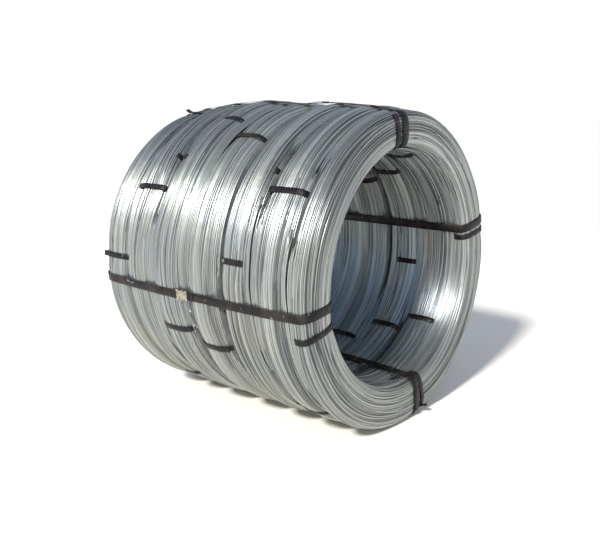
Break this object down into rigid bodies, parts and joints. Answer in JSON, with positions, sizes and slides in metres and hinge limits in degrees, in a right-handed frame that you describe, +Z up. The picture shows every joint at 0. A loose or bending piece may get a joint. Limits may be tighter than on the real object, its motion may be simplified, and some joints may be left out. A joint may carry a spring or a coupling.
{
  "type": "bundle of galvanised wire coils",
  "caption": "Strapped bundle of small coils of galvanised wire lying on its side round an open eye, each coil held by its own flat steel ties.",
  "frame": {"origin": "on the floor under the middle of the bundle's box", "axes": "+X along the bundle's axis from its far end to its near end, +Z up"},
  "size_m": [0.6498, 0.7407, 0.7407],
  "materials": {
    "zinc_wire": "bright galvanised, drawn wire",
    "black_tie": "black lacquered steel band, semi-gloss",
    "black_strap": "black lacquered steel strapping, worn bright at its edges",
    "seal_steel": "dull crimped sheet"
  },
  "bodies": {
    "root": {"coil_1": "zinc_wire", "coil_2": "zinc_wire", "coil_3": "zinc_wire", "coil_4": "zinc_wire", "coil_5": "zinc_wire", "coil_6": "zinc_wire", "coil_7": "zinc_wire", "coil_1_tie_1": "black_tie", "coil_1_tie_2": "black_tie", "coil_1_tie_3": "black_tie", "coil_1_tie_4": "black_tie", "coil_2_tie_1": "black_tie", "coil_2_tie_2": "black_tie", "coil_2_tie_3": "black_tie", "coil_2_tie_4": "black_tie", "coil_3_tie_1": "black_tie", "coil_3_tie_2": "black_tie", "coil_3_tie_3": "black_tie", "coil_3_tie_4": "black_tie", "coil_3_tie_5": "black_tie", "coil_4_tie_1": "black_tie", "coil_4_tie_2": "black_tie", "coil_4_tie_3": "black_tie", "coil_4_tie_4": "black_tie", "coil_5_tie_1": "black_tie", "coil_5_tie_2": "black_tie", "coil_5_tie_3": "black_tie", "coil_5_tie_4": "black_tie", "coil_5_tie_5": "black_tie", "coil_6_tie_1": "black_tie", "coil_6_tie_2": "black_tie", "coil_6_tie_3": "black_tie", "coil_6_tie_4": "black_tie", "coil_7_tie_1": "black_tie", "coil_7_tie_2": "black_tie", "coil_7_tie_3": "black_tie", "coil_7_tie_4": "black_tie", "strap_front": "black_strap", "strap_top": "black_strap", "strap_back": "black_strap", "strap_bottom": "black_strap", "seal_front": "seal_steel", "seal_top": "seal_steel", "seal_back": "seal_steel", "seal_bottom": "seal_steel"}
  },
  "joints": []
}
